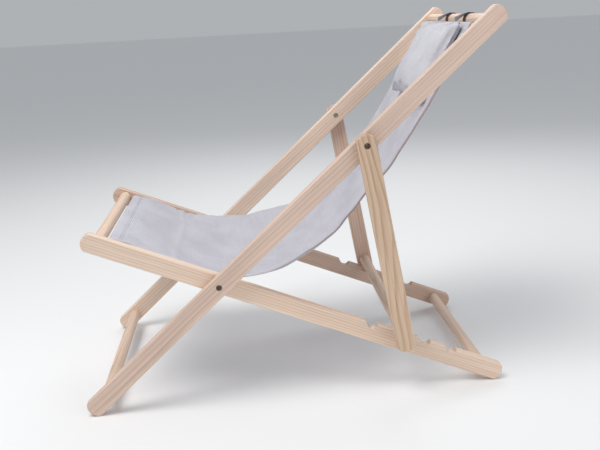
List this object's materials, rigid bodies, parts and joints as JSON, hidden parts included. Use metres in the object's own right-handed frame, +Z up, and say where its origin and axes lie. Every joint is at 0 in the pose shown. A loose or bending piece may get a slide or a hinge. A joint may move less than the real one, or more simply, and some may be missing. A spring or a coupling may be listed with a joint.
{
  "type": "folding deck chair",
  "caption": "Folding garden deck chair: crossed wooden frames that pivot, a rear prop frame in notches, a canvas sling and a hanging headrest pillow.",
  "frame": {"origin": "on the floor, at the middle of the bounding box at rest", "axes": "+X from front to back, +Y to the sitter's right, +Z up"},
  "size_m": [0.9046, 0.573, 0.8047],
  "materials": {
    "beech_rail": "fine sanded, clear matt",
    "beech_bar": "turned and sanded, clear matt",
    "beech_rod": "turned and sanded",
    "dark_steel": "blackened",
    "nickel_steel": "nickel plated, satin",
    "washer_steel": "zinc plated",
    "sling_canvas": "plain weave canvas",
    "pillow_canvas": "plain weave canvas, padded",
    "strap_webbing": "narrow woven tape"
  },
  "bodies": {
    "back_frame": {"foot_crossbar": "beech_bar", "long_rail_left": "beech_rail", "long_rail_right": "beech_rail", "main_pivot_bolt_left": "dark_steel", "main_pivot_bolt_right": "dark_steel", "main_pivot_nut_left": "nickel_steel", "main_pivot_nut_right": "nickel_steel", "main_pivot_washer_left": "washer_steel", "main_pivot_washer_right": "washer_steel", "prop_pivot_bolt_left": "dark_steel", "prop_pivot_bolt_right": "dark_steel", "prop_pivot_nut_left": "nickel_steel", "prop_pivot_nut_right": "nickel_steel", "prop_pivot_washer_left": "washer_steel", "prop_pivot_washer_right": "washer_steel", "sling_back": "sling_canvas", "sling_rod_top": "beech_rod", "top_crossbar": "beech_bar"},
    "seat_frame": {"front_crossbar": "beech_bar", "rear_crossbar": "beech_bar", "seat_rail_left": "beech_rail", "seat_rail_right": "beech_rail", "sling_rod_front": "beech_rod", "sling_seat": "sling_canvas"},
    "prop_frame": {"prop_crossbar": "beech_bar", "prop_leg_left": "beech_rail", "prop_leg_right": "beech_rail"},
    "headrest": {"headrest_pillow": "pillow_canvas", "headrest_strap_left": "strap_webbing", "headrest_strap_right": "strap_webbing"}
  },
  "joints": [
    {"name": "seat_fold", "type": "hinge", "parent": "back_frame", "child": "seat_frame", "pos_m": [-0.15381, 0, 0.26685], "axis": [0, -1, 0], "range_deg": [0, 58]},
    {"name": "prop_swing", "type": "hinge", "parent": "back_frame", "child": "prop_frame", "pos_m": [0.1615, 0, 0.54581], "axis": [0, -1, 0], "range_deg": [0, 122]},
    {"name": "headrest_flip", "type": "hinge", "parent": "back_frame", "child": "headrest", "pos_m": [0.41781, 0, 0.77525], "axis": [0, 1, 0], "range_deg": [0, 90]}
  ],
  "couplings": [
    {"joint": "prop_swing", "follows": "seat_fold", "ratio": 2.1}
  ]
}
